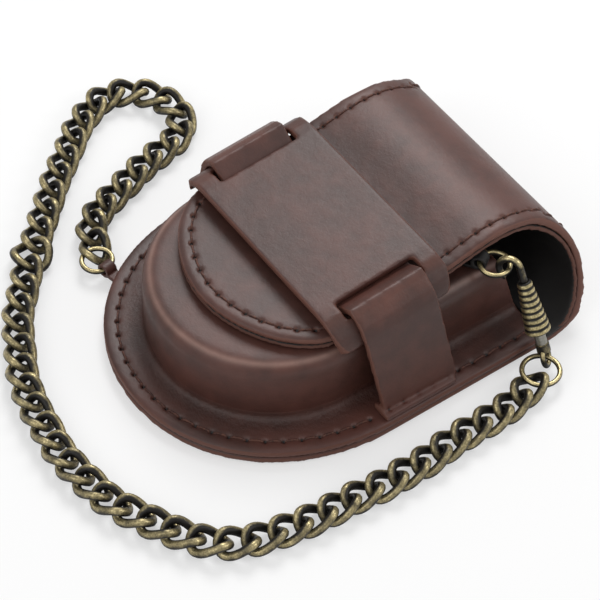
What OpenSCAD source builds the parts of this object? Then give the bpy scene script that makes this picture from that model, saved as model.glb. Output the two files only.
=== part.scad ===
// Leather pocket watch case: a stitched back, a moulded front with a domed pocket, a flap that
// folds over a round spine, a keeper strap and band that hold the flap's tongue, and a curb chain
// with a sprung clasp. It lies on its back, front end towards -Y, clasp side towards +X.

/* [Case] */
// Width across the stitched flange
case_w = 80; // [70:1:100]
// Length from the rounded front end to the back of the spine
case_l = 101; // [92:1:120]
// How far the rounded front end reaches from where the straight sides begin
front_reach = 43.8; // [40:0.2:50]
// Squareness of the rounded front end (2 is an ellipse)
front_square = 2.1; // [2:0.05:2.6]
// Thickness of the back leather
back_t = 2; // [1.6:0.1:2.6]
// Thickness of the front leather
front_t = 2.1; // [1.6:0.1:2.6]
// Thickness of the black lining
lining_t = 1.1; // [0.8:0.1:1.4]
// Full height, from the table to the top of the spine
case_h = 30.6; // [28:0.2:36]

/* [Pocket] */
// Outer radius of the domed pocket in plan
dome_r = 29.5; // [25:0.5:32]
// Where the dome's straight sides begin, behind the flange's own centre
dome_back = -5.2; // [-7:0.2:-3]
// Gap between the top of the dome and the lining of the closed flap
flap_gap = 0.3; // [0.2:0.1:1]
// Radius of the dome's top rim
rim_r = 3.6; // [2.5:0.1:5]
// Radius of the moulded foot of the dome
foot_r = 1.6; // [1:0.1:2.5]
// Distance from the table's rear edge of the case to the pocket mouth at its foot
mouth_back = 15; // [13:0.5:20]
// Lean of the pocket mouth from upright
mouth_lean = 16; // [5:1:25]

/* [Flap] */
// Width of the flap over the top
flap_w = 54; // [46:1:60]
// Height of the tongue's upper face above the table
tongue_top = 25; // [24:0.1:27]
// Reach of the tongue's rounded end
tongue_reach = 19; // [15:0.5:22]
// Distance from the front of the case to the tip of the tongue
tongue_in = 19.2; // [16:0.2:24]
// Depth of the spine's curve above its middle
spine_top_d = 19.5; // [16:0.5:22]
// Depth of the spine's curve below its middle
spine_low_d = 14.5; // [12:0.5:15]
// Rise of the flap where it leaves the keeper band
flap_rise = 2.6; // [2:0.1:3.5]

/* [Keeper] */
// Width of the band along the case
band_w = 31; // [26:1:36]
// Half length of the band across the case, before its ends turn down
band_half = 30.2; // [29.8:0.1:31]
// Thickness of the keeper leather
keeper_t = 1.8; // [1.4:0.1:2.2]
// Width of the keeper strap
strap_w = 19.5; // [16:0.5:22]
// Distance of the strap's middle in front of the origin
strap_y = 1; // [-4:0.5:6]
// Length of the slots beyond the strap's edges
slot_spare = 0.8; // [0.4:0.1:1.5]
// Tilt of the keeper where it lies on the flap
keeper_tilt = 5; // [3:0.5:7]

/* [Stitching] */
// Distance of the stitch line from the edge
seam_in = 3.3; // [2.5:0.1:4.5]
// Pitch of the stitches
stitch_pitch = 4; // [3:0.1:5]
// Radius of the thread
thread_r = 0.35; // [0.25:0.05:0.5]

/* [Clasp] */
// Radius of the clasp's rod
rod_r = 0.9; // [0.7:0.05:1.1]
// Length of the ribbed sleeve
sleeve_l = 13.2; // [11:0.2:15]
// Radius of the sleeve at its wide end
sleeve_r = 3.1; // [2.8:0.1:3.5]
// Radius of the sleeve at its narrow end
sleeve_tip_r = 1.7; // [1.6:0.05:2]
// Number of ribs turned on the sleeve
rib_count = 9; // [6:1:12]
// Running clearance of the sleeve and the swivel on the rod
run_gap = 0.06; // [0.03:0.01:0.1]
// Radius of the hook's bend
hook_r = 2.5; // [2.2:0.1:3]
// Radius of the swivel eye
eye_r = 2.1; // [1.9:0.05:2.4]
// Lean of the clasp from upright
clasp_lean = 26.7; // [20:0.1:32]

/* [Chain] */
// Radius of the chain's wire
wire_r = 0.8; // [0.65:0.05:0.85]
// Half width of a link between wire centres
link_half_w = 3; // [2.8:0.05:3.2]
// Distance from one link to the next
link_pitch = 6; // [5.7:0.05:6.1]
// Half length of a link between wire centres
link_half_l = 4.1; // [4:0.05:4.2]
// Radius of the wire of the plain rings
ring_wire_r = 0.6; // [0.5:0.05:0.7]
// Number of the link that is a round joining ring
joining_link = 31; // [5:1:45]

/* [Hidden] */
$fn = 48;

front_y = -case_l / 2;
rear_y = case_l / 2;
arc_y = front_y + front_reach;
flange_z = back_t + front_t;
spine_mid_z = case_h / 2;
spine_top_y = rear_y - spine_top_d;
spine_low_y = rear_y - spine_low_d;
strip_t = back_t + lining_t;
dome_y = arc_y + dome_back;
dome_top = tongue_top - strip_t - flap_gap;
wall_t = front_t;
mouth_y = rear_y - mouth_back;
tongue_y = front_y + tongue_in + tongue_reach;
big = 400;

leather = [0.30, 0.17, 0.13];
black = [0.08, 0.07, 0.07];
thread = [0.20, 0.11, 0.08];
brass = [0.42, 0.36, 0.22];

// Plan of the flange, drawn in from its edge by d, from the +X side round the front to the -X side
function flange_at(t, d) = let(c = cos(t), s = sin(t), p = 2 / front_square)
    [(case_w / 2 - d) * sign(c) * pow(abs(c), p), arc_y - (front_reach - d) * pow(abs(s), p)];
function flange_front(d, n) = [for (i = [0:n]) flange_at(180 * i / n, d)];
function flange_plan(d, y_end) = concat([[case_w / 2 - d, y_end]], flange_front(d, 48),
    [[-case_w / 2 + d, y_end]]);

// Plan of the flap, drawn in from its edge by d
tongue_square = 1.8;
function tongue_at(t, d) = let(c = cos(t), s = sin(t), p = 2 / tongue_square)
    [(flap_w / 2 - d) * sign(c) * pow(abs(c), p), tongue_y - (tongue_reach - d) * pow(abs(s), p)];
function tongue_front(d, n) = [for (i = [0:n]) tongue_at(180 * i / n, d)];

// Half width of the flap's strip where it widens down the spine to the flange
taper_top = 27;
function strip_half(z) = lookup(z, [[flange_z, case_w / 2], [taper_top, flap_w / 2]]);

// Side profile of the strip's outer face: up the spine, over the top and along to the tongue
rise_y = 13;
flat_y = -16;
rise_slope = flap_rise / (rise_y - flat_y);
function top_z(y) = y <= flat_y ? tongue_top
    : y <= rise_y ? tongue_top + rise_slope * (y - flat_y)
    : let(u = (y - rise_y) / (spine_top_y - rise_y), z0 = tongue_top + flap_rise,
        m = rise_slope * (spine_top_y - rise_y))
        (2 * pow(u, 3) - 3 * u * u + 1) * z0 + (pow(u, 3) - 2 * u * u + u) * m
        + (3 * u * u - 2 * pow(u, 3)) * case_h;
function top_dir(y) = let(e = 0.01, v = [2 * e, top_z(y + e) - top_z(y - e)]) v / norm(v);
function spine_at(t, d) = let(a = t < 0 ? spine_low_d : spine_top_d, b = spine_mid_z,
    n = [cos(t) / a, sin(t) / b])
    [rear_y - a + a * cos(t), spine_mid_z + b * sin(t)] - d * n / norm(n);
function top_at(y, d) = [y, top_z(y)] - d * [-top_dir(y)[1], top_dir(y)[0]];
spine_steps = 18;
top_ys = [for (i = [1:24]) spine_top_y + (front_y + tongue_in - 1 - spine_top_y) * i / 24];
hinge_gap = 0.3;
function flap_line(d) = concat([for (i = [0:spine_steps]) spine_at(hinge_gap
    + (90 - hinge_gap) * i / spine_steps, d)], [for (y = top_ys) top_at(y, d)]);
function low_line(d) = [for (i = [0:spine_steps]) spine_at(-90 * i / spine_steps, d)];
function reversed(v) = [for (i = [len(v) - 1:-1:0]) v[i]];

module strip(points) {
    rotate([90, 0, 90]) linear_extrude(case_w + 10, center = true) polygon(points);
}

module strip_taper() {
    w = case_w / 2;
    f = flap_w / 2;
    rotate([90, 0, 0]) linear_extrude(big, center = true)
        polygon([[-w, -1], [w, -1], [w, flange_z], [f, taper_top], [f, 60], [-f, 60],
            [-f, taper_top], [-w, flange_z]]);
}

module flap_plan_prism() {
    linear_extrude(60) polygon(concat([[case_w, rear_y + 5], [case_w, spine_top_y],
        [flap_w / 2, spine_top_y]], tongue_front(0, 40),
        [[-flap_w / 2, spine_top_y], [-case_w, spine_top_y], [-case_w, rear_y + 5]]));
}

// The back leather: the flat back and, from its rear edge, the lower half of the spine
module back_panel() {
    color(leather) {
        linear_extrude(back_t) polygon(flange_plan(0, spine_low_y));
        intersection() {
            strip(concat(low_line(0), reversed(low_line(back_t))));
            strip_taper();
        }
    }
}

// The black lining: on the back inside the pocket, and up the inside of the lower spine
module back_lining() {
    r = dome_r - wall_t - flap_gap;
    plan = concat([[r, spine_low_y]], [for (i = [0:32]) [r * cos(180 * i / 32), dome_y
        - r * sin(180 * i / 32)]], [[-r, spine_low_y]]);
    color(black) {
        intersection() {
            strip(concat(low_line(back_t), reversed(low_line(strip_t))));
            strip_taper();
        }
        translate([0, 0, back_t]) linear_extrude(lining_t) polygon(plan);
    }
}

// Half section of the dome's outer face, from the flange to the top
function dome_section() = concat(
    [[0, back_t], [dome_r + foot_r, back_t], [dome_r + foot_r, flange_z]],
    [for (i = [1:6]) [dome_r + foot_r - foot_r * sin(15 * i), flange_z + foot_r - foot_r * cos(15 * i)]],
    [for (i = [0:9]) [dome_r - rim_r + rim_r * cos(10 * i), dome_top - rim_r + rim_r * sin(10 * i)]],
    [[0, dome_top]]);
// Half section of the hollow under it
function hollow_section() = let(r = dome_r - wall_t, f = rim_r - wall_t) concat(
    [[0, back_t - 1], [r, back_t - 1]],
    [for (i = [0:9]) [r - f + f * cos(10 * i), dome_top - wall_t - f + f * sin(10 * i)]],
    [[0, dome_top - wall_t]]);

module dome_solid(section, y_end) {
    translate([0, dome_y, 0]) {
        rotate([0, 0, 180]) rotate_extrude(angle = 180, $fn = 96) polygon(section);
        for (m = [0, 1]) mirror([m, 0, 0])
            translate([0, y_end - dome_y, 0]) rotate([90, 0, 0])
                linear_extrude(y_end - dome_y) polygon(section);
    }
}

// The front leather: a flat flange with the pocket's dome moulded in it, open at the rear
module front_panel() {
    color(leather) difference() {
        union() {
            translate([0, 0, back_t]) linear_extrude(front_t) polygon(flange_plan(0, mouth_y));
            dome_solid(dome_section(), mouth_y);
        }
        dome_solid(hollow_section(), mouth_y + 1);
        translate([0, mouth_y, flange_z]) rotate([mouth_lean, 0, 0])
            translate([-big / 2, 0, 0]) cube([big, 40, 60]);
        anchor_place() translate([-big, -tab_w / 2 - tab_gap, back_t - 1])
            cube([big + tab_in, tab_w + 2 * tab_gap, tab_t + tab_gap + 1]);
    }
}

// One stitch of thread along Y, half sunk in the leather
module stitch() {
    rotate([90, 0, 0]) cylinder(h = stitch_pitch * 0.7, r = thread_r, center = true, $fn = 8);
}

// Length walked along a list of points, and the point at a length
function walk(v, i = 0, s = 0) = i >= len(v) ? []
    : concat([[s, i]], walk(v, i + 1, i + 1 < len(v) ? s + norm(v[i + 1] - v[i]) : s));
function along(v, w, s) = let(u = lookup(s, w), i = min(floor(u), len(v) - 2))
    v[i] + (u - i) * (v[i + 1] - v[i]);
function walk_l(w) = w[len(w) - 1][0];

// The seam round the flange, through both panels, left out under the strap's sewn ends
module flange_stitches() {
    v = concat([[case_w / 2 - seam_in, mouth_y - 2]], flange_front(seam_in, 90),
        [[-case_w / 2 + seam_in, mouth_y - 2]]);
    w = walk(v);
    n = floor(walk_l(w) / stitch_pitch);
    color(thread) for (i = [0:n - 1]) {
        s = (i + 0.5) * walk_l(w) / n;
        p = along(v, w, s);
        q = along(v, w, s + 0.1) - along(v, w, s - 0.1);
        if (abs(p[1] - strap_y) > (strap_w + stitch_pitch) / 2)
            translate([p[0], p[1], flange_z]) rotate([0, 0, atan2(q[1], q[0]) - 90]) stitch();
    }
}

// Stitches along a side of the strip, at the points of a profile line
module side_stitches(line, side, skip) {
    w = walk(line);
    n = floor((walk_l(w) - skip) / stitch_pitch);
    for (i = [0:n - 1]) {
        s = (i + 0.5) * stitch_pitch;
        p = along(line, w, s);
        q = along(line, w, s + 0.1) - along(line, w, s - 0.1);
        translate([side * (strip_half(p[1]) - seam_in), p[0], p[1]])
            rotate([atan2(q[1], q[0]), 0, 0]) stitch();
    }
}

// The seam up each side of the lower spine
module spine_stitches() {
    color(thread) for (side = [-1, 1]) side_stitches(low_line(0), side, 12);
}

// The seam round the flap and its tongue
module flap_stitches() {
    v = tongue_front(seam_in, 60);
    w = walk(v);
    n = floor(walk_l(w) / stitch_pitch);
    rear = [for (p = flap_line(0)) if (p[0] > tongue_y) p];
    color(thread) {
        for (side = [-1, 1]) side_stitches(rear, side, 0);
        for (i = [0:n - 1]) {
            s = (i + 0.5) * walk_l(w) / n;
            p = along(v, w, s);
            q = along(v, w, s + 0.1) - along(v, w, s - 0.1);
            translate([p[0], p[1], top_z(p[1])]) rotate([0, 0, atan2(q[1], q[0]) - 90]) stitch();
        }
    }
}

// The flap's outer leather, from the hinge line of the spine to the tip of the tongue
module flap_outer() {
    color(leather) intersection() {
        strip(concat(flap_line(0), reversed(flap_line(back_t))));
        strip_taper();
        flap_plan_prism();
    }
}

// The flap's black lining
module flap_lining() {
    color(black) intersection() {
        strip(concat(flap_line(back_t), reversed(flap_line(strip_t))));
        strip_taper();
        flap_plan_prism();
    }
}

// A ribbon of thickness t along a line of points in the XZ plane
function turn(v) = [-v[1], v[0]] / norm(v);
function side_at(v, i) = let(a = turn(v[max(i, 1)] - v[max(i, 1) - 1]),
    b = turn(v[min(i, len(v) - 2) + 1] - v[min(i, len(v) - 2)]), m = (a + b) / norm(a + b)) m / (m * a);
function ribbon(v, t) = concat([for (i = [0:len(v) - 1]) v[i] + t / 2 * side_at(v, i)],
    [for (i = [len(v) - 1:-1:0]) v[i] - t / 2 * side_at(v, i)]);

// The keeper's own frame: its zero plane lies on the flap's sloping top
keeper_gap = 0.25;
slot_in = 21.8;
slot_out = 26.6;
module keeper_frame() {
    translate([0, strap_y - 1, tongue_top + rise_slope * (strap_y - 1 - flat_y) + keeper_gap])
        rotate([keeper_tilt, 0, 0]) children();
}
plate_z = keeper_t * 1.5 + 0.3;
band_line = [[0, plate_z], [21.5, plate_z], [24.5, plate_z - 0.3], [27, plate_z - 1.3], [28.6, plate_z - 2.8],
    [29.6, plate_z - 4.6], [band_half, plate_z - 6.2]];
strap_line = [[0, keeper_t / 2], [22, keeper_t / 2], [26.6, 4.05], [28.1, 3.45], [30.2, 1.5], [31.45, -0.75],
    [32.1, -2.6], [case_w / 2 - 2.5, -22]];

module keeper_section(points, w) {
    for (m = [0, 1]) mirror([m, 0, 0]) rotate([90, 0, 0])
        linear_extrude(w, center = true) polygon(ribbon(points, keeper_t));
}

// The wide band over the flap, with a slot near each end for the strap
module keeper_band() {
    r = 4;
    color(leather) keeper_frame() difference() {
        keeper_section(band_line, band_w);
        for (m = [0, 1]) mirror([m, 0, 0]) {
            translate([slot_in, -strap_w / 2 - slot_spare, -20])
                cube([slot_out - slot_in, strap_w + 2 * slot_spare, 40]);
            for (k = [0, 1]) mirror([0, k, 0]) translate([band_half + 1.2 - r, band_w / 2 - r, -20])
                difference() {
                    cube([r + 2, r + 2, 40]);
                    translate([0, 0, -1]) cylinder(h = 42, r = r);
                }
        }
    }
}

// The strap: sewn to the flange at both ends, over the band's end bars and under its middle
tab_from = case_w / 2 - 5.6;
module keeper_strap() {
    color(leather) {
        difference() {
            keeper_frame() keeper_section(strap_line, strap_w);
            translate([-big / 2, -big / 2, flange_z - 60]) cube([big, big, 60 + keeper_t / 2]);
            for (m = [0, 1]) mirror([m, 0, 0])
                translate([case_w / 2 - 0.4, -big / 2, 0]) cube([30, big, 12]);
        }
        for (m = [0, 1]) mirror([m, 0, 0]) translate([tab_from, strap_y - strap_w / 2, flange_z])
            cube([case_w / 2 - 0.4 - tab_from, strap_w, keeper_t]);
    }
}

// The stitches through each end of the strap
module strap_stitches() {
    n = floor(strap_w / stitch_pitch);
    color(thread) for (m = [0, 1]) mirror([m, 0, 0]) for (i = [0:n - 1])
        translate([case_w / 2 - 2.1, strap_y + (i - (n - 1) / 2) * stitch_pitch, flange_z + keeper_t])
            stitch();
}

// The clasp's frame: its zero is the wide end of the sleeve, +Z runs up the rod to the hook
clasp_base = [41.2, 32.2, 9.2];
clasp_turn = 4.8;
module clasp_frame() {
    translate(clasp_base) rotate([0, 0, clasp_turn]) rotate([0, -clasp_lean, 0]) children();
}
rod_low = 4.9;
hook_z = sleeve_l + hook_r + 1.1;
hook_sweep = 236;
hook_turn = 30;

module torus(r, w) {
    rotate_extrude($fn = 64) translate([r, 0]) circle(w, $fn = 24);
}

// The rod with its hook, and its square shank below the sleeve
module clasp_hook() {
    color(brass) clasp_frame() {
        translate([0, 0, -rod_low]) cylinder(h = rod_low + hook_z, r = rod_r, $fn = 32);
        rotate([0, 0, hook_turn]) translate([-hook_r, 0, hook_z]) rotate([90, 0, 0])
            rotate_extrude(angle = hook_sweep, $fn = 64) translate([hook_r, 0]) circle(rod_r * 0.9, $fn = 24);
    }
}

// The ribbed sleeve that closes the hook: it slides down the rod against a spring
sleeve_travel = 2.6;
spring_top = sleeve_l - 2;
bore_r = rod_r + run_gap;
spring_r = rod_r + 0.45;
module clasp_sleeve() {
    step = sleeve_l / rib_count;
    outline = [for (i = [0:rib_count - 1]) for (k = [[0, -0.25], [0.2, 0], [0.6, 0], [0.8, -0.35]])
        [sleeve_r + (sleeve_tip_r - sleeve_r) * (i + k[0]) / rib_count + k[1], (i + k[0]) * step]];
    color(brass) clasp_frame() rotate_extrude($fn = 64)
        polygon(concat([[spring_r + 0.1, 0]], outline, [[sleeve_tip_r - 0.35, sleeve_l],
            [bore_r, sleeve_l], [bore_r, spring_top], [spring_r + 0.1, spring_top]]));
}

// The coil spring inside the sleeve, between its shoulder and the swivel, drawn as a plain tube
module clasp_spring() {
    color("silver") clasp_frame() translate([0, 0, -collar_z]) difference() {
        cylinder(h = collar_z + spring_top, r = spring_r, $fn = 32);
        translate([0, 0, -1]) cylinder(h = collar_z + spring_top + 2, r = rod_r + 0.08, $fn = 32);
    }
}

// The swivel eye: a collar that turns on the end of the rod, and the ring below it
collar_z = 3.4;
collar_l = 2;
collar_r = 1.6;
eye_z = -7;
eye_turn = 34;
module clasp_eye() {
    color(brass) clasp_frame() difference() {
        union() {
            translate([0, 0, -collar_z - collar_l]) cylinder(h = collar_l, r = collar_r, $fn = 32);
            translate([0, 0, eye_z]) rotate([0, 0, eye_turn]) rotate([0, 90, 0]) torus(eye_r, ring_wire_r);
        }
        translate([0, 0, -rod_low - run_gap]) cylinder(h = 10, r = bore_r, $fn = 32);
    }
}

// Where the eye's middle is, and the jump ring that hangs in it
clasp_up = [-sin(clasp_lean) * cos(clasp_turn), -sin(clasp_lean) * sin(clasp_turn), cos(clasp_lean)];
clasp_out = [cos(clasp_lean) * cos(clasp_turn), cos(clasp_lean) * sin(clasp_turn), sin(clasp_lean)];
clasp_side = cross(clasp_up, clasp_out);
eye_mid = clasp_base + eye_z * clasp_up;
jump_mid = [46.9, 29, 3];
jump_r = norm(jump_mid - eye_mid);

// A ring whose middle is at mid, whose wire passes through the point at
module ring_through(mid, at, r, w) {
    v = at - mid;
    translate(mid) rotate([0, 0, atan2(v[1], v[0])]) rotate([0, -asin(v[2] / norm(v)), 0]) torus(r, w);
}
module jump_ring() {
    color(brass) ring_through(jump_mid, eye_mid, jump_r, ring_wire_r);
}

// The ring that the hook holds, in a leather tab on the pocket's mouth
hook_mid = clasp_base + hook_z * clasp_up
    - hook_r * (cos(hook_turn) * clasp_out + sin(hook_turn) * clasp_side);
hold_tab_w = 3;
hold_tab_t = 0.8;
hold_bore = 1.1;
hold_leaf = 7;
hold_aim = 215.5;
hold_end = [hook_mid[0] - 5.6, hook_mid[1] - 4, dome_top + hold_tab_t + hold_bore + 0.1];
hold_r = norm(hook_mid - hold_end) / 2;
module hook_ring() {
    color(brass) ring_through((hook_mid + hold_end) / 2, hook_mid, hold_r, ring_wire_r);
}
module hold_place() {
    translate(hold_end) rotate([0, 0, hold_aim]) children();
}
module hook_tab() {
    color(black) hold_place() difference() {
        union() {
            rotate([90, 0, 0]) cylinder(h = hold_tab_w, r = hold_bore + hold_tab_t, center = true, $fn = 32);
            translate([0, -hold_tab_w / 2, dome_top - hold_end[2]]) cube([hold_leaf, hold_tab_w, hold_tab_t]);
        }
        rotate([90, 0, 0]) cylinder(h = hold_tab_w + 1, r = hold_bore, center = true, $fn = 32);
    }
}
// The rivet that fixes the tab to the pocket's top
rivet_r = 1.1;
rivet_h = 0.6;
module tab_rivet() {
    color(brass) hold_place() translate([hold_leaf - 2, 0, dome_top + hold_tab_t - hold_end[2]])
        cylinder(h = rivet_h, r = rivet_r, $fn = 32);
}

// The chain's route along the table, from the jump ring round to the far side of the flange
route = [[49, 24], [51, 16], [51, 9], [51, 2], [52, -5], [52, -12], [52, -19], [51, -26], [51, -33],
    [50, -40], [49, -46], [47, -52], [44, -57], [39, -61], [34, -64], [28, -67], [21, -70], [14, -71],
    [6, -72], [-2, -71], [-10, -70], [-18, -68], [-26, -64], [-34, -60], [-41, -54], [-48, -48],
    [-54, -42], [-60, -36], [-66, -30], [-72, -23], [-78, -16], [-82, -9], [-83, -3], [-80, 2],
    [-75, 6], [-69, 7], [-63, 5], [-60, -1], [-59, -7], [-57, -12], [-55, -18], [-53, -23],
    [-51, -28], [-48, -31], [-42.5, -33.5]];
route_walk = walk(route);
link_count = round(walk_l(route_walk) / link_pitch) + 1;
link_step = walk_l(route_walk) / (link_count - 1);
chain_z = wire_r + link_half_w * sin(45) + 0.15;

// One oval link of round wire, along X
module link() {
    s = link_half_l - link_half_w;
    for (k = [0, 180]) rotate([0, 0, k]) {
        translate([s, 0, 0]) rotate([0, 0, -90]) rotate_extrude(angle = 180, $fn = 48)
            translate([link_half_w, 0]) circle(wire_r, $fn = 24);
        translate([-s, link_half_w, 0]) rotate([0, 90, 0]) cylinder(h = 2 * s, r = wire_r, $fn = 24);
    }
}
module place_link(i, roll = 45) {
    s = i * link_step;
    p = along(route, route_walk, s);
    q = along(route, route_walk, s + 3) - along(route, route_walk, s - 3);
    translate([p[0], p[1], chain_z]) rotate([0, 0, atan2(q[1], q[0])])
        rotate([i % 2 == 0 ? roll : -roll, 0, 0]) children();
}
module chain_near() {
    color(brass) for (i = [0:joining_link - 1]) place_link(i) link();
}
joining_roll = 30;
module joining_ring() {
    color(brass) place_link(joining_link, joining_roll) torus(link_half_l, wire_r);
}
module chain_far() {
    color(brass) for (i = [joining_link + 1:link_count - 1]) place_link(i) link();
}

// The chain's far end: a ring in a leather tab that is sewn into the seam of the far side
anchor_t = 142;
// Which way the tab points, and how far it stands out
anchor_aim = 190;
tab_out = 3;
tab_w = 3;
tab_t = 1;
tab_in = 3;
tab_gap = 0.05;
tab_bore = 1;
anchor_r = 3.6;
anchor_edge = flange_at(anchor_t, 0);
module anchor_place() {
    translate([anchor_edge[0], anchor_edge[1], 0]) rotate([0, 0, anchor_aim + 180]) children();
}
anchor_z = chain_z;
module anchor_tab() {
    color(leather) anchor_place() difference() {
        union() {
            translate([-tab_out, -tab_w / 2, back_t]) cube([tab_out + tab_in, tab_w, tab_t]);
            translate([-tab_out, 0, anchor_z]) rotate([90, 0, 0])
                cylinder(h = tab_w, r = tab_bore + tab_t * 0.8, center = true, $fn = 32);
        }
        translate([-tab_out, 0, anchor_z]) rotate([90, 0, 0])
            cylinder(h = tab_w + 1, r = tab_bore, center = true, $fn = 32);
    }
}
module anchor_ring() {
    color(brass) anchor_place() translate([-tab_out - anchor_r, 0, anchor_z]) torus(anchor_r, ring_wire_r);
}

back_panel();
back_lining();
front_panel();
flange_stitches();
spine_stitches();
flap_outer();
flap_lining();
flap_stitches();
keeper_strap();
keeper_band();
strap_stitches();
hook_tab();
tab_rivet();
hook_ring();
clasp_hook();
clasp_sleeve();
clasp_spring();
clasp_eye();
jump_ring();
chain_near();
joining_ring();
chain_far();
anchor_ring();
anchor_tab();
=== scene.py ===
import math

import bmesh
import bpy
import numpy as np
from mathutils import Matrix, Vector
from mathutils.kdtree import KDTree


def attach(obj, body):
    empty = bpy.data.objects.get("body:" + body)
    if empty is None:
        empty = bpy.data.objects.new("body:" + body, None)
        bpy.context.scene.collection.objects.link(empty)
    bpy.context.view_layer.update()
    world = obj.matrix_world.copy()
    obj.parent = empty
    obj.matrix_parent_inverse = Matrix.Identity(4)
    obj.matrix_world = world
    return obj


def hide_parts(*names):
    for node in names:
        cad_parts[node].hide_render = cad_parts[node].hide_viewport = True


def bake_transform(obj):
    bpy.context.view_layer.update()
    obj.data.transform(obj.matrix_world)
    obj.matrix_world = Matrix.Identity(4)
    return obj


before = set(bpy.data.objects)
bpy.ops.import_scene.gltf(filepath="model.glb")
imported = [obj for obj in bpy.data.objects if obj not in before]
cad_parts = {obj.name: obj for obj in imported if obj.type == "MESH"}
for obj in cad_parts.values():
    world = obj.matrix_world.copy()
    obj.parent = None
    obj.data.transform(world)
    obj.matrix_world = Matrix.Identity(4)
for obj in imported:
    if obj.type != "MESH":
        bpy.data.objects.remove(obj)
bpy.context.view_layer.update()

# Camera: a long lens that looks down on the case's front corner from the clasp side, as in the
# photograph. It was fitted to the flange's outline, the stitch holes and the flap's edges.
turned, raised = math.radians(55.0), math.radians(50.079)
towards_lens = Vector((math.sin(turned) * math.cos(raised), -math.cos(turned) * math.cos(raised),
                       math.sin(raised)))
focal_px, frame_px, film_mm = 2506.366, 600, 36
looked_at, lens_away = Vector((0, -0.0067, 0.0041)), 0.575749
lens = bpy.data.cameras.new("camera")
lens.sensor_width = film_mm
lens.lens = film_mm * focal_px / frame_px
lens.shift_x = 8.122 / frame_px
lens.shift_y = 6.381 / frame_px
lens.clip_start = 0.05
camera = bpy.data.objects.new("camera", lens)
camera.location = looked_at + towards_lens * lens_away
camera.rotation_euler = towards_lens.to_track_quat("Z", "Y").to_euler()
bpy.context.scene.collection.objects.link(camera)
bpy.context.scene.camera = camera
bpy.context.scene.view_settings.view_transform = "Standard"


# Floor and light: a white paper sweep under three soft lamps. The strongest stands high behind
# the case's far side, a wide one near the camera and a weak one behind the clasp. Node trees,
# here and below, are written through these classes.
class Socket:
    """An output of a node, with the sums that are done on it"""

    def __init__(self, tree, out):
        self.tree, self.out = tree, out

    def sum(self, operation, *values):
        return self.tree.add("ShaderNodeMath", {"operation": operation}, dict(enumerate(values)))

    def __add__(self, other):
        return self.sum("ADD", self, other)

    def __radd__(self, other):
        return self.sum("ADD", other, self)

    def __sub__(self, other):
        return self.sum("SUBTRACT", self, other)

    def __rsub__(self, other):
        return self.sum("SUBTRACT", other, self)

    def __mul__(self, other):
        return self.sum("MULTIPLY", self, other)

    def __rmul__(self, other):
        return self.sum("MULTIPLY", other, self)

    def most(self, other):
        return self.sum("MAXIMUM", self, other)

    def between(self, low, high):
        """0 below low, 1 above high and smooth between them"""
        return self.tree.add("ShaderNodeMapRange", {"interpolation_type": "SMOOTHSTEP"},
                             {"Value": self, "From Min": low, "From Max": high})


class Tree:
    """A node tree, shader or geometry"""

    def __init__(self, tree):
        self.tree = tree

    def add(self, kind, settings=None, inputs=None, out=0):
        node = self.tree.nodes.new(kind)
        for key, value in (settings or {}).items():
            setattr(node, key, value)
        for key, value in (inputs or {}).items():
            self.join(value, node.inputs[key])
        return Socket(self, node.outputs[out])

    def join(self, value, socket):
        if isinstance(value, Socket):
            self.tree.links.new(value.out, socket)
        else:
            socket.default_value = value

    def blend(self, factor, one, two):
        """One colour where factor is 0, the other where it is 1"""
        return self.add("ShaderNodeMix", {"data_type": "RGBA"}, {0: factor, 6: one, 7: two}, 2)


class Finish(Tree):
    """A material with one Principled shader"""

    def __init__(self, name):
        self.material = bpy.data.materials.new(name)
        self.material.use_nodes = True
        super().__init__(self.material.node_tree)
        self.shader = self.tree.nodes["Principled BSDF"]
        self.output = self.tree.nodes["Material Output"]
        self.place = self.add("ShaderNodeTexCoord", out="Object")
        self.facing = self.add("ShaderNodeTexCoord", out="Normal")

    def set(self, **values):
        for key, value in values.items():
            self.join(value, self.shader.inputs[key.replace("_", " ")])

    def noise(self, scale, detail=3.0, rough=0.5):
        return self.add("ShaderNodeTexNoise", None, {
            "Vector": self.place, "Scale": scale, "Detail": detail, "Roughness": rough})

    def mark(self, name):
        """A value that the mesh carries at its points"""
        return self.add("ShaderNodeAttribute", {"attribute_name": name}, out="Fac")

    def bump(self, height, strength, distance, under=None):
        inputs = {"Height": height, "Strength": strength, "Distance": distance}
        if under:
            inputs["Normal"] = under
        return self.add("ShaderNodeBump", None, inputs)


def rgb(red, green, blue):
    """A colour as a screen shows it, 0 to 255, made linear by the sRGB curve"""
    return tuple((v / 255 / 12.92 if v < 11 else ((v / 255 + 0.055) / 1.055) ** 2.4)
                 for v in (red, green, blue)) + (1.0,)


def new_object(name, data):
    made = bpy.data.objects.new(name, data)
    bpy.context.scene.collection.objects.link(made)
    return made


sweep_half, sweep_z = 3.0, -0.0002
sweep = bpy.data.meshes.new("sweep")
sweep.from_pydata([(-sweep_half, -sweep_half, sweep_z), (sweep_half, -sweep_half, sweep_z),
                   (sweep_half, sweep_half, sweep_z), (-sweep_half, sweep_half, sweep_z)], [],
                  [(0, 1, 2, 3)])
paper = Finish("white_paper")
paper.set(Base_Color=rgb(248, 248, 248), Roughness=0.9)
paper.set(Specular_IOR_Level=0.0)
seen = paper.add("ShaderNodeLightPath", out="Is Camera Ray")
glow = paper.add("ShaderNodeEmission", None, {"Color": (1, 1, 1, 1), "Strength": 1.0})
lit = Socket(paper, paper.shader.outputs[0])
glow_share = 0.5
mixed = paper.add("ShaderNodeMixShader", None, {0: seen * glow_share, 1: lit, 2: glow})
paper.join(mixed, paper.output.inputs["Surface"])
sweep.materials.append(paper.material)
new_object("sweep", sweep)

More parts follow.
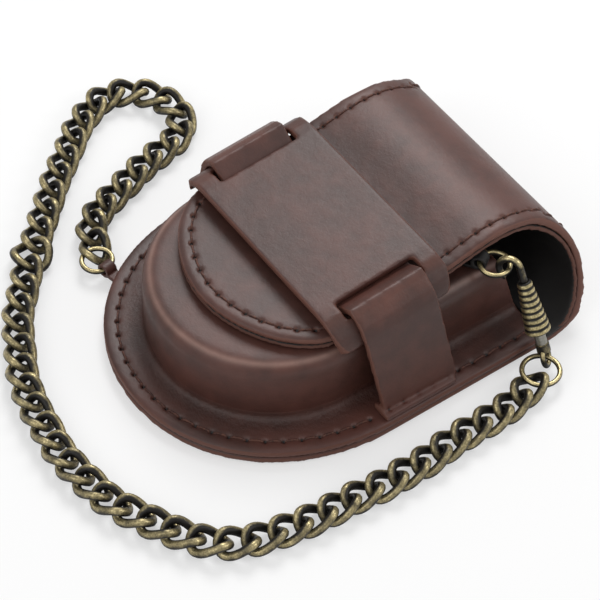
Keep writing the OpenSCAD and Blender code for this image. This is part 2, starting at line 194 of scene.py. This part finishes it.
world = bpy.data.worlds.new("studio")
world.use_nodes = True
bpy.context.scene.world = world
sky = Tree(world.node_tree)
seen = sky.add("ShaderNodeLightPath", out="Is Camera Ray")
mirrored = sky.add("ShaderNodeLightPath", out="Is Glossy Ray")
passed = sky.add("ShaderNodeLightPath", out="Is Transmission Ray")
sky_level, mirror_extra = 0.5, 0.1
sky.join(sky_level + seen.most(passed) * (1 - sky_level) + mirrored * mirror_extra,
         world.node_tree.nodes["Background"].inputs["Strength"])
world.node_tree.nodes["Background"].inputs["Color"].default_value = (1, 1, 1, 1)


def soft_lamp(name, place, width, watts):
    light = bpy.data.lights.new(name, "AREA")
    light.size = width
    light.energy = watts
    lamp = new_object(name, light)
    lamp.location = place
    lamp.rotation_euler = Vector(place).to_track_quat("Z", "Y").to_euler()


soft_lamp("key_lamp", (-0.36, 0.34, 0.62), 0.36, 3.2)
soft_lamp("fill_lamp", (0.10, -0.60, 0.55), 0.5, 1.2)
soft_lamp("rear_lamp", (0.45, 0.45, 0.50), 0.3, 1.0)

# Curb chain: oval links of brass wire, each twisted so that it lies flat with its neighbours
# crossing through it. It runs from the clasp's jump ring round the front to the far seam.
route_mm = [(49, 24), (51, 16), (51, 9), (51, 2), (52, -5), (52, -12), (52, -19), (51, -26),
            (51, -33), (50, -40), (49, -46), (47, -52), (44, -57), (39, -61), (34, -64), (28, -67),
            (21, -70), (14, -71), (6, -72), (-2, -71), (-10, -70), (-18, -68), (-26, -64),
            (-34, -60), (-41, -54), (-48, -48), (-54, -42), (-60, -36), (-66, -30), (-72, -23),
            (-78, -16), (-82, -9), (-83, -3), (-80, 2), (-75, 6), (-69, 7), (-63, 5), (-60, -1),
            (-59, -7), (-57, -12), (-55, -18), (-53, -23), (-51, -28), (-48, -31), (-42.5, -33.5)]
joining_link = 31
link_count = 53
wire_r = 0.00104
link_long, link_wide, link_twist = 0.0043, 0.00285, 0.0015
floor_gap = 0.0001
chain_z = link_twist + wire_r + floor_gap
route = np.array([(x, y, 0) for x, y in route_mm]) * 0.001 + [0, 0, chain_z]


def tube(name, line, radius, sides=10, closed=True):
    """A round wire along a line of points"""
    line = np.asarray(line, float)
    count = len(line)
    ahead = np.roll(line, -1, 0) - np.roll(line, 1, 0)
    if not closed:
        ahead[0], ahead[-1] = line[1] - line[0], line[-1] - line[-2]
    ahead /= np.linalg.norm(ahead, axis=1)[:, None]
    out = line - line.mean(0)
    out -= (out * ahead).sum(1)[:, None] * ahead
    out /= np.linalg.norm(out, axis=1)[:, None] + 1e-12
    side = np.cross(ahead, out)
    around = 2 * np.pi * np.arange(sides) / sides
    ring = (np.cos(around)[None, :, None] * out[:, None]
            + np.sin(around)[None, :, None] * side[:, None])
    verts = (line[:, None] + radius * ring).reshape(-1, 3)
    faces = []
    for i in range(count if closed else count - 1):
        j = (i + 1) % count
        for k in range(sides):
            m = (k + 1) % sides
            faces.append((i * sides + k, j * sides + k, j * sides + m, i * sides + m))
    if not closed:
        last = (count - 1) * sides
        faces += [tuple(range(sides)), tuple(last + k for k in reversed(range(sides)))]
    mesh = bpy.data.meshes.new(name)
    mesh.from_pydata(verts.tolist(), [], faces)
    form = bmesh.new()
    form.from_mesh(mesh)
    bmesh.ops.recalc_face_normals(form, faces=form.faces)
    form.to_mesh(mesh)
    form.free()
    mesh.shade_smooth()
    return mesh


def set_mark(mesh, name, values):
    """Keeps a value at each point of a mesh, for its material"""
    kept = mesh.attributes.new(name, "FLOAT", "POINT")
    kept.data.foreach_set("value", np.asarray(values, np.float32))


def points_of(mesh):
    flat = np.empty(len(mesh.vertices) * 3, np.float32)
    mesh.vertices.foreach_get("co", flat)
    return flat.reshape(-1, 3).astype(float)


def normals_of(mesh):
    flat = np.empty(len(mesh.vertices) * 3, np.float32)
    mesh.vertices.foreach_get("normal", flat)
    return flat.reshape(-1, 3).astype(float)


def antique_brass(name, marked):
    """Brass with a black patina, brightened where a mesh mark says: where hands and neighbours rub
    it, and on upward faces as a painted highlight. Unmarked, only the upward faces are brightened,
    as a painted highlight
    """
    made = Finish(name)
    grime = made.noise(420, 4, 0.6)
    fine = made.noise(2600, 2)
    if marked:
        lightened = made.mark("wear_and_top_light")
    else:
        # Painted highlight: upward faces are made brass-bright, as if lit from above.
        up = made.add("ShaderNodeSeparateXYZ", None, {0: made.facing}, 2)
        lightened = up.between(-0.3, 1.0)
    bright = (lightened * 1.3 + grime * 0.9 - 0.86).between(0.2, 0.9)
    tone = made.blend(fine.between(0.35, 0.7), rgb(170, 156, 116), rgb(216, 200, 152))
    made.set(Base_Color=made.blend(bright, rgb(24, 21, 18), tone), Metallic=0.3 + bright * 0.7,
             Roughness=0.42 - bright * 0.1 + grime * 0.08)
    made.set(Normal=made.bump(grime + fine * 0.4, 0.35, 0.00025))
    return made.material


chain_brass = antique_brass("chain_brass", True)
plain_brass = antique_brass("ring_brass", False)

turns = np.linspace(0, 2 * np.pi, 36, endpoint=False)
link_line = np.stack([link_long * np.cos(turns), link_wide * np.sin(turns),
                      -link_twist * np.sin(2 * turns)], 1)
link_mesh = tube("link", link_line, wire_r)
at, facing = points_of(link_mesh), normals_of(link_mesh)
outward = (facing[:, :2] * at[:, :2]).sum(1) / np.linalg.norm(at[:, :2], axis=1)
# The links' mark: a painted highlight on their upward faces, and real wear rubbed bright on their
# outer faces.
set_mark(link_mesh, "wear_and_top_light", np.clip(0.62 * facing[:, 2] + 0.42 * outward + 0.12, 0, 1))
link_object = new_object("link", link_mesh)


def new_geometry_tree(name, sockets):
    """A geometry tree with named inputs, and the identifier of each"""
    tree = bpy.data.node_groups.new(name, "GeometryNodeTree")
    tree.interface.new_socket("Geometry", in_out="OUTPUT", socket_type="NodeSocketGeometry")
    ids = {}
    for label, kind in sockets:
        ids[label] = tree.interface.new_socket(label, in_out="INPUT", socket_type=kind).identifier
    return tree, ids


def grown(name, base, tree, ids, values):
    """The plain mesh that a geometry tree makes on a base mesh"""
    holder = new_object(name + "_holder", base)
    grow = holder.modifiers.new("grow", "NODES")
    grow.node_group = tree
    for label, value in values.items():
        grow[ids[label]] = value
    mesh = bpy.data.meshes.new_from_object(
        holder.evaluated_get(bpy.context.evaluated_depsgraph_get()))
    bpy.data.objects.remove(holder)
    mesh.name = name
    return mesh


chain_tree, chain_ids = new_geometry_tree("chain", [
    ("Geometry", "NodeSocketGeometry"), ("Link", "NodeSocketObject"), ("Count", "NodeSocketInt"),
    ("Left out", "NodeSocketInt"), ("Sway", "NodeSocketFloat"), ("Finish", "NodeSocketMaterial")])
grow = Tree(chain_tree)
given = chain_tree.nodes.new("NodeGroupInput")
given = {label: Socket(grow, given.outputs[label]) for label in chain_ids}
line = grow.add("GeometryNodeMeshToCurve", None, {0: given["Geometry"]})
line = grow.add("GeometryNodeResampleCurve", None, {"Curve": line, "Count": given["Count"]})
along = grow.add("FunctionNodeAlignRotationToVector", {"axis": "X", "pivot_axis": "Z"},
                 {"Vector": grow.add("GeometryNodeInputTangent")})
swing = grow.add("FunctionNodeRandomValue", {"data_type": "FLOAT"},
                 {2: given["Sway"] * -1.0, 3: given["Sway"], "Seed": 5}, 1)
swing = grow.add("FunctionNodeEulerToRotation", None,
                 {0: grow.add("ShaderNodeCombineXYZ", None, {"X": swing})})
along = grow.add("FunctionNodeRotateRotation", {"rotation_space": "LOCAL"}, {0: along, 1: swing})
kept = grow.add("FunctionNodeCompare", {"data_type": "INT", "operation": "NOT_EQUAL"},
                {2: grow.add("GeometryNodeInputIndex"), 3: given["Left out"]})
shape = grow.add("GeometryNodeObjectInfo", None, {0: given["Link"]}, "Geometry")
links = grow.add("GeometryNodeInstanceOnPoints", None,
                 {"Points": line, "Selection": kept, "Instance": shape, "Rotation": along})
links = grow.add("GeometryNodeRealizeInstances", None, {0: links})
links = grow.add("GeometryNodeSetMaterial", None, {"Geometry": links, "Material": given["Finish"]})
end = chain_tree.nodes.new("NodeGroupOutput")
grow.join(links, end.inputs[0])

route_mesh = bpy.data.meshes.new("route")
route_mesh.from_pydata(route.tolist(), [(i, i + 1) for i in range(len(route) - 1)], [])
chain = new_object("curb_chain", grown("curb_chain", route_mesh, chain_tree, chain_ids, {
    "Link": link_object, "Count": link_count, "Left out": joining_link, "Sway": 0.07,
    "Finish": chain_brass}))
chain.data.shade_smooth()
bpy.data.objects.remove(link_object)

# Joining ring: a round ring of the same wire that joins the chain's two lengths. It is bent
# to the same twist as the links, so that it lies flat between them.
steps = np.r_[0, np.cumsum(np.linalg.norm(np.diff(route, axis=0), axis=1))]


def on_route(length):
    return np.array([np.interp(length, steps, route[:, k]) for k in range(3)])


half_pitch, joining_r, joining_twist = 0.003, 0.0041, 0.0014
middle = steps[-1] * joining_link / (link_count - 1)
ahead = on_route(middle + half_pitch) - on_route(middle - half_pitch)
ahead /= np.linalg.norm(ahead)
across = np.array([-ahead[1], ahead[0], 0])
ring_line = (on_route(middle) + joining_r * (np.cos(turns)[:, None] * ahead
             + np.sin(turns)[:, None] * across)
             - joining_twist * np.sin(2 * turns)[:, None] * [0, 0, 1])
joining_mesh = tube("joining_ring", ring_line, wire_r)
facing = normals_of(joining_mesh)
# The ring's mark is a painted highlight only: its upward faces are made lighter.
set_mark(joining_mesh, "wear_and_top_light", np.clip(0.6 * facing[:, 2] + 0.25, 0, 1))
joining_mesh.materials.append(chain_brass)
joining = new_object("joining_ring_wire", joining_mesh)
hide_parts("joining_ring")
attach(joining, "root")
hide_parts("chain_near", "chain_far")
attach(chain, "root")


# Outer hide: one piece of oiled leather about 2 mm thick. It lies flat under the case, folds up
# round the spine and runs on as the flap, which ends in a round tongue. Its edges are burnished.
def cad_copy(*nodes):
    """A merged copy of the meshes of CAD pieces, in their place"""
    form = bmesh.new()
    for node in nodes:
        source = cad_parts[node]
        mesh = source.data.copy()
        mesh.transform(source.matrix_world)
        form.from_mesh(mesh)
        bpy.data.meshes.remove(mesh)
    bmesh.ops.remove_doubles(form, verts=form.verts, dist=1e-6)
    mesh = bpy.data.meshes.new(nodes[0])
    form.to_mesh(mesh)
    form.free()
    return mesh


def soft_hide(nodes, cell, rounds):
    """A CAD shell, or several that are one hide, in small even cells with its edges rubbed round"""
    work = new_object("work", cad_copy(*nodes))
    cells = work.modifiers.new("cells", "REMESH")
    cells.mode = "VOXEL"
    cells.voxel_size = cell
    rub = work.modifiers.new("rub", "SMOOTH")
    rub.factor = 0.5
    rub.iterations = rounds
    soft = bpy.data.meshes.new_from_object(
        work.evaluated_get(bpy.context.evaluated_depsgraph_get()))
    bpy.data.objects.remove(work)
    soft.materials.clear()
    soft.shade_smooth()
    return soft


def spots(at, centres, radius):
    """1 at each centre, falling off softly within the radius"""
    strong = np.zeros(len(at))
    for centre in centres:
        gap = ((at - centre) ** 2).sum(1)
        strong = np.maximum(strong, np.exp(-gap / radius ** 2))
    return strong


def oiled_leather(name, dark, mid, warm, edge, rough):
    """Smooth oiled hide: mottled, redder where it is bent or rubbed, with a pale painted highlight
    and painted shade where they are marked, and painted shade in its holes
    """
    made = Finish(name)
    patches = made.noise(38, 3, 0.55)
    clouds = made.noise(190, 5, 0.6)
    grain = made.noise(1900, 3, 0.6)
    fine = made.noise(5200, 2)
    tone = made.blend((patches * 0.6 + clouds * 0.4).between(0.36, 0.66), dark, mid)
    lightened = (made.mark("crest") + clouds * 0.5 - 0.25).between(0.1, 0.9) * made.mark("crest")
    tone = made.blend(lightened, tone, warm)
    # Painted highlight: a pale line where the rim's mark is set, along the dome's crest.
    tone = made.blend(made.mark("rim_highlight") * (clouds * 0.6 + 0.35), tone, rgb(176, 142, 130))
    cut = (made.mark("edge") * 1.2 + clouds * 0.3 - 0.15).between(0.25, 0.85)
    tone = made.blend(cut, tone, edge)
    # Painted shade: darker where the shade mark is set, at the dome's foot.
    tone = made.blend(made.mark("shade") * 0.75, tone, tuple(v * 0.35 for v in dark[:3]) + (1,))
    # Painted shade: near-black in the awl holes, and slightly darker along the stitch grooves.
    tone = made.blend(made.mark("pit").between(0.3, 0.72), tone, rgb(14, 7, 5))
    made.set(Base_Color=tone,
             Roughness=rough + grain * 0.12 + cut * 0.14 - lightened * 0.05 + patches * 0.08 - 0.1)
    low = made.bump(clouds + made.mark("foot") * made.noise(900, 4, 0.7) * 3.0, 0.35, 0.0004)
    made.set(Normal=made.bump(grain + fine * 0.5, 0.22, 0.00012, low))
    return made.material


hide_brown = oiled_leather("hide_brown", rgb(62, 37, 31), rgb(87, 52, 44), rgb(108, 61, 45),
                           rgb(100, 62, 50), 0.46)


def hide_piece(name, mesh, finish, body, slot, *nodes):
    """Puts a finished shell in the scene in place of its CAD nodes. On body "fold" its place is
    baked into its mesh and it is attached to no body."""
    mesh.materials.append(finish)
    piece = new_object(name, mesh)
    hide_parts(*nodes)
    if body == "fold":
        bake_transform(piece)
    else:
        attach(piece, body)
    return piece


def seam_places(node):
    """The middle and direction of each stitch of a CAD seam"""
    mesh = cad_copy(node)
    at = points_of(mesh)
    group = np.arange(len(at))
    pairs = np.empty(len(mesh.edges) * 2, np.int32)
    mesh.edges.foreach_get("vertices", pairs)
    pairs = pairs.reshape(-1, 2)
    while True:
        low = group.copy()
        np.minimum.at(low, pairs[:, 0], group[pairs[:, 1]])
        np.minimum.at(low, pairs[:, 1], low[pairs[:, 0]])
        if (low == group).all():
            break
        group = low
    places = []
    for one in np.unique(group):
        part = at[group == one]
        middle = part.mean(0)
        aim = np.linalg.svd(part - middle)[2][0]
        places.append((middle, aim))
    return places


stitch_pitch = 0.004
hole_r, groove_r, groove_depth = 0.00048, 0.00055, 0.00016
finer_r, finer_from = 0.0009, 0.2


def punched(mesh, places, depth):
    """Presses a shallow groove and the awl's holes into a hide along a seam, in finer cells"""
    holes = np.array([m + end * a * stitch_pitch for m, a in places for end in (-0.5, 0.5)])
    at = points_of(mesh)
    near = spots(at, holes, finer_r) > finer_from
    form = bmesh.new()
    form.from_mesh(mesh)
    form.verts.ensure_lookup_table()
    cut = [e for e in form.edges if near[e.verts[0].index] and near[e.verts[1].index]]
    bmesh.ops.subdivide_edges(form, edges=cut, cuts=2, use_grid_fill=True)
    form.to_mesh(mesh)
    form.free()
    at, facing = points_of(mesh), normals_of(mesh)
    line = np.array([m + a * stitch_pitch * share for m, a in places
                     for share in (-0.4, -0.2, 0, 0.2, 0.4)])
    groove = spots(at, line, groove_r)
    pit = spots(at, holes, hole_r)
    at -= facing * (groove * groove_depth + pit * depth)[:, None]
    mesh.vertices.foreach_set("co", at.astype(np.float32).ravel())
    mesh.update()
    # The holes, and the groove more weakly, are marked for the painted shade that darkens them.
    set_mark(mesh, "pit", np.maximum(pit, groove * 0.45))
    return mesh


def outline_inset(at):
    """How far in from the flange's cut edge a point lies, roughly"""
    half_width, reach, straight_y, square = 0.040, 0.0438, -0.0067, 2.1
    front = np.clip(straight_y - at[:, 1], 0, None)
    out = ((np.abs(at[:, 0]) / half_width) ** square + (front / reach) ** square) ** (1 / square)
    return (1 - out) * half_width


def slope(values, low, high):
    """0 below low, 1 above high and straight between them"""
    return np.clip((values - low) / (high - low), 0, 1)


def on_tongue(at):
    """True at the points of the flap's round end, in front of the keeper"""
    lowest, behind = 0.018, -0.012
    return (at[:, 2] > lowest) * (at[:, 1] < behind)


hole_depth, back_top, flange_edge_in = 0.0007, 0.0035, 0.0015
seams = seam_places("spine_stitches") + seam_places("flap_stitches")
outer = soft_hide(("back_panel", "flap_outer"), cell=0.0006, rounds=12)
outer = punched(outer, seams, hole_depth)
at, facing = points_of(outer), normals_of(outer)
side_wall = slope(np.abs(facing[:, 0]), 0.35, 0.70)
flat_part = at[:, 2] < back_top
flange_wall = (flat_part * (outline_inset(at) < flange_edge_in)
               * slope(-np.abs(facing[:, 2]), -0.8, -0.4))
tongue_wall = on_tongue(at) * slope(-facing[:, 2], -0.8, -0.5)
set_mark(outer, "edge", np.clip(side_wall * (1 - flat_part) + flange_wall + tongue_wall, 0, 1))
bend_y, bend_wide, flap_from_z = 0.031, 0.006, 0.02
bend = np.exp(-((at[:, 1] - bend_y) / bend_wide) ** 2) * (at[:, 2] > flap_from_z)
set_mark(outer, "crest", 0.4 * bend)
hide_piece("outer_hide", outer, hide_brown, "fold", "leather", "back_panel", "flap_outer")


# Stitches: waxed brown thread. Each one lies proud of the hide between two awl holes and dives
# into them, on the same places as the CAD seam's stitches.
def waxed_thread():
    made = Finish("waxed_thread")
    lay = made.noise(1500, 3, 0.6)
    ply = made.noise(6000, 2)
    tone = made.blend(lay.between(0.35, 0.65), rgb(58, 31, 25), rgb(98, 60, 47))
    made.set(Base_Color=tone, Roughness=0.62 + ply * 0.1, Normal=made.bump(ply, 0.4, 0.0001))
    return made.material


thread_finish = waxed_thread()
thread_r, half_stitch, slant, proud, dive = 0.00027, 0.00165, 0.00005, 0.00002, 0.0008
reach = np.linspace(-1, 1, 11)
thread_line = np.stack([reach * half_stitch, slant * reach, proud - dive * np.abs(reach) ** 4], 1)
thread_mesh = tube("stitch", thread_line, thread_r, sides=8, closed=False)
thread_object = new_object("stitch", thread_mesh)
seam_tree, seam_ids = new_geometry_tree("seam", [
    ("Geometry", "NodeSocketGeometry"), ("Stitch", "NodeSocketObject"),
    ("Slack", "NodeSocketFloat"), ("Finish", "NodeSocketMaterial")])
grow = Tree(seam_tree)
given = seam_tree.nodes.new("NodeGroupInput")
given = {label: Socket(grow, given.outputs[label]) for label in seam_ids}
aim = grow.add("GeometryNodeInputNamedAttribute", {"data_type": "FLOAT_VECTOR"}, {0: "aim"})
rise = grow.add("GeometryNodeInputNamedAttribute", {"data_type": "FLOAT_VECTOR"}, {0: "rise"})
lie = grow.add("FunctionNodeAlignRotationToVector", {"axis": "Z", "pivot_axis": "AUTO"},
               {"Vector": rise})
lie = grow.add("FunctionNodeAlignRotationToVector", {"axis": "X", "pivot_axis": "Z"},
               {"Rotation": lie, "Vector": aim})
skew = grow.add("FunctionNodeRandomValue", {"data_type": "FLOAT"},
                {2: given["Slack"] * -1.0, 3: given["Slack"], "Seed": 9}, 1)
skew = grow.add("FunctionNodeEulerToRotation", None,
                {0: grow.add("ShaderNodeCombineXYZ", None, {"Z": skew})})
lie = grow.add("FunctionNodeRotateRotation", {"rotation_space": "LOCAL"}, {0: lie, 1: skew})
shape = grow.add("GeometryNodeObjectInfo", None, {0: given["Stitch"]}, "Geometry")
sewn = grow.add("GeometryNodeInstanceOnPoints", None,
                {"Points": given["Geometry"], "Instance": shape, "Rotation": lie})
sewn = grow.add("GeometryNodeRealizeInstances", None, {0: sewn})
sewn = grow.add("GeometryNodeSetMaterial", None, {"Geometry": sewn, "Material": given["Finish"]})
end = seam_tree.nodes.new("NodeGroupOutput")
grow.join(sewn, end.inputs[0])


def sew(name, node, hide, body):
    """Threads the stitches of one CAD seam on the hide that it holds"""
    places = seam_places(node)
    at, facing = points_of(hide), normals_of(hide)
    near = KDTree(len(at))
    for i, p in enumerate(at):
        near.insert(p, i)
    near.balance()
    points = bpy.data.meshes.new(name)
    points.from_pydata([tuple(m) for m, _ in places], [], [])
    rises = []
    for middle, _ in places:
        mean = facing[[i for _, i, _ in near.find_n(middle, 12)]].mean(0)
        rises.append(mean / np.linalg.norm(mean))
    for label, values in (("aim", [a for _, a in places]), ("rise", rises)):
        kept = points.attributes.new(label, "FLOAT_VECTOR", "POINT")
        kept.data.foreach_set("vector", np.array(values, np.float32).ravel())
    mesh = grown(name, points, seam_tree, seam_ids,
                 {"Stitch": thread_object, "Slack": 0.05, "Finish": thread_finish})
    mesh.shade_smooth()
    hide_piece(name, mesh, thread_finish, body, "thread", node)


sew("spine_thread", "spine_stitches", outer, "fold")
sew("flap_thread", "flap_stitches", outer, "fold")

# Lining: thin black leather glued over the inside of the back, up the spine and under the flap,
# so that the watch lies on a soft face. Its edges are burnished brown with the outer hide's.
black_lining = oiled_leather("black_lining", rgb(20, 18, 18), rgb(29, 26, 25), rgb(34, 30, 29),
                             rgb(88, 54, 43), 0.6)
lining = soft_hide(("back_lining", "flap_lining"), cell=0.00055, rounds=5)
at, facing = points_of(lining), normals_of(lining)
spine_from_z = 0.0036
side_wall = slope(np.abs(facing[:, 0]), 0.3, 0.6) * (at[:, 2] > spine_from_z)
tongue_wall = on_tongue(at) * (np.abs(facing[:, 2]) < 0.75)
set_mark(lining, "edge", np.clip(side_wall + tongue_wall, 0, 1))
hide_piece("black_lining", lining, black_lining, "fold", "lining", "back_lining", "flap_lining")

# Front leather: one hide wet-moulded over a form, so that a flat flange runs round a domed
# pocket. The rim of the dome is rubbed reddish, with a pale line of painted highlight along its
# crest, and the foot is creased finely and darkened with painted shade.
front = soft_hide(("front_panel",), cell=0.00056, rounds=10)
front = punched(front, seam_places("flange_stitches"), hole_depth)
at, facing = points_of(front), normals_of(front)
dome_y, dome_r, dome_top = -0.0119, 0.0295, 0.0216
plan = np.where(at[:, 1] < dome_y, np.hypot(at[:, 0], at[:, 1] - dome_y), np.abs(at[:, 0]))
outwards, upwards = plan - dome_r, at[:, 2] - dome_top
rim_in, rim_down, rim_wide = 0.0010, 0.0008, 0.0019
rim = np.exp(-((outwards + rim_in) ** 2 + (upwards + rim_down) ** 2) / rim_wide ** 2)
highlight_in, highlight_down, highlight_wide = 0.0016, 0.0001, 0.0007
highlight_gap = np.hypot(outwards + highlight_in, upwards + highlight_down)
foot_out, foot_top, foot_wide = 0.0016, 0.0062, 0.0024
foot = np.exp(-((outwards - foot_out) / foot_wide) ** 2) * (at[:, 2] < foot_top)
mouth_y, flange_top, flange_edge_in = 0.026, 0.0045, 0.0013
mouth_edge = (facing[:, 1] > 0.6) * (at[:, 1] > mouth_y)
flange_edge = ((outline_inset(at) < flange_edge_in) * (at[:, 2] < flange_top)
               * slope(-facing[:, 2], -0.85, -0.45))
set_mark(front, "edge", np.clip(mouth_edge * 0.8 + flange_edge, 0, 1))
wall_z, wall_high, wall_t = 0.012, 0.004, 0.001
wall = np.exp(-((at[:, 2] - wall_z) / wall_high) ** 2) * (np.abs(outwards) < wall_t)
set_mark(front, "crest", np.clip(rim * 0.4 + 0.3 * wall, 0, 1))
# Painted highlight: a pale line just inside the rim's crest, on the dome's top.
set_mark(front, "rim_highlight", np.exp(-(highlight_gap / highlight_wide) ** 2))
set_mark(front, "foot", foot)
# Painted shade at the dome's foot, where it meets the flange.
set_mark(front, "shade", foot * 0.5)
hide_piece("front_leather", front, hide_brown, "root", "leather", "front_panel")
sew("flange_thread", "flange_stitches", front, "root")

# Keeper: a leather strap, sewn to both sides of the flange, and a wide leather band on it. The
# strap goes through the band's two slots, and together they hold the tongue down.
strap_hole_depth = 0.0005
strap = soft_hide(("keeper_strap",), cell=0.0004, rounds=6)
strap = punched(strap, seam_places("strap_stitches"), strap_hole_depth)
at, facing = points_of(strap), normals_of(strap)
set_mark(strap, "edge", slope(np.abs(facing[:, 1]), 0.35, 0.70))
bend_x, bend_wide, bend_from_z = 0.0285, 0.0035, 0.02
bend = np.exp(-((np.abs(at[:, 0]) - bend_x) / bend_wide) ** 2) * (at[:, 2] > bend_from_z)
set_mark(strap, "crest", 0.5 * bend * (facing[:, 2] > 0))
hide_piece("strap_leather", strap, hide_brown, "root", "leather", "keeper_strap")
sew("strap_thread", "strap_stitches", strap, "root")
band = soft_hide(("keeper_band",), cell=0.0004, rounds=6)
at, facing = points_of(band), normals_of(band)
strap_y, slot_from, slot_to, slot_half_l, end_x = 0.001, 0.021, 0.0275, 0.0112, 0.0285
sideways, from_strap = np.abs(at[:, 0]), np.abs(at[:, 1] - strap_y)
in_slot = (sideways > slot_from) * (sideways < slot_to) * (from_strap < slot_half_l)
slot_wall = in_slot * (facing[:, 2] < 0.6)
end_wall = (sideways > end_x) * (facing[:, 2] < 0.2)
long_edge = (np.abs(facing[:, 1]) - 0.35) / 0.35
set_mark(band, "edge", np.clip(long_edge + end_wall + slot_wall, 0, 1))
bend_x, bend_wide = 0.0255, 0.003
bend = np.exp(-((sideways - bend_x) / bend_wide) ** 2)
set_mark(band, "crest", 0.5 * bend * (facing[:, 2] > 0.3))
hide_piece("band_leather", band, hide_brown, "root", "leather", "keeper_band")
bpy.data.objects.remove(thread_object)

# Small tabs: a black leather one, riveted on the pocket's mouth, holds the hook's ring, and a
# brown one, sewn into the far seam, holds the chain's last ring.
tab_cell = 0.00018
hook_tab = soft_hide(("hook_tab",), tab_cell, rounds=3)
hide_piece("hook_tab_leather", hook_tab, black_lining, "root", "lining", "hook_tab")
anchor_tab = soft_hide(("anchor_tab",), tab_cell, rounds=3)
anchor_piece = hide_piece("anchor_tab_leather", anchor_tab, hide_brown, "root", "leather",
                          "anchor_tab")

# Clasp: a rod bent to a hook at the top, a swivel eye at the foot, and a turned sleeve between
# them that slides down against a spring. The sleeve is a lathe-turned cone with rounded ribs.
foot_point = np.array([0.0412, 0.0322, 0.0092])
lean, heading = math.radians(26.7), math.radians(4.8)
level = np.array([math.cos(heading), math.sin(heading), 0])
up = np.array([0, 0, math.cos(lean)]) - math.sin(lean) * level
out = np.array([0, 0, math.sin(lean)]) + math.cos(lean) * level
side = np.cross(up, out)
sleeve_l, wide_r, narrow_r, bore_r, ribs = 0.0132, 0.0031, 0.0017, 0.00105, 9
groove_deep, worn_deep = 0.00042, 0.00032
foot_room, tip_round, tip_bore = 0.0004, 0.00035, 0.002


def cone_r(share):
    """The sleeve's radius over its ribs, from its foot at 0 to its tip at 1"""
    return wide_r + (narrow_r - wide_r) * share


profile = [(bore_r + foot_room, 0.0)]
for i in range(ribs):
    for k in (0.0, 0.12, 0.3, 0.5, 0.7, 0.88):
        rise = (i + k) / ribs
        swell = groove_deep * (math.sin(math.pi * k) ** 0.6 if k else 0.0) - groove_deep
        profile.append((cone_r(rise) + swell, rise * sleeve_l))
profile += [(narrow_r - tip_round, sleeve_l), (bore_r, sleeve_l), (bore_r, sleeve_l - tip_bore)]
sides = 48
verts, faces, wear_and_top_light = [], [], []
for r, z in profile:
    for k in range(sides):
        a = 2 * math.pi * k / sides
        verts.append(foot_point + up * z + r * (math.cos(a) * out + math.sin(a) * side))
        wear_and_top_light.append(min(1.0, max(0.0, 1.0 - (cone_r(z / sleeve_l) - r) / worn_deep)))
count = len(profile)
for i in range(count):
    j = (i + 1) % count
    for k in range(sides):
        m = (k + 1) % sides
        faces.append((i * sides + k, i * sides + m, j * sides + m, j * sides + k))
sleeve = bpy.data.meshes.new("sleeve")
sleeve.from_pydata([tuple(v) for v in verts], [], faces)
set_mark(sleeve, "wear_and_top_light", wear_and_top_light)
form = bmesh.new()
form.from_mesh(sleeve)
bmesh.ops.recalc_face_normals(form, faces=form.faces)
form.to_mesh(sleeve)
form.free()
sleeve.shade_smooth()
sleeve.materials.append(chain_brass)
sleeve_piece = new_object("ribbed_sleeve", sleeve)
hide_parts("clasp_sleeve")
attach(sleeve_piece, "sleeve")

# Hook, swivel eye, spring, rings and rivet: brass wire and turned parts whose CAD shapes are
# right as they are. They carry the same patina as the chain, with a painted highlight that
# lightens their upward faces.
spring_finish = Finish("spring_steel")
coil = spring_finish.noise(2400, 2)
spring_finish.set(Base_Color=spring_finish.blend(coil, rgb(120, 118, 112), rgb(160, 158, 150)),
                  Metallic=1.0, Roughness=0.3 + coil * 0.1)
brass_nodes = ("clasp_hook", "clasp_eye", "jump_ring", "hook_ring", "anchor_ring", "tab_rivet")
finishes = {node: plain_brass for node in brass_nodes}
finishes["clasp_spring"] = spring_finish.material
for node, finish in finishes.items():
    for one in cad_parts[node].material_slots:
        one.material = finish
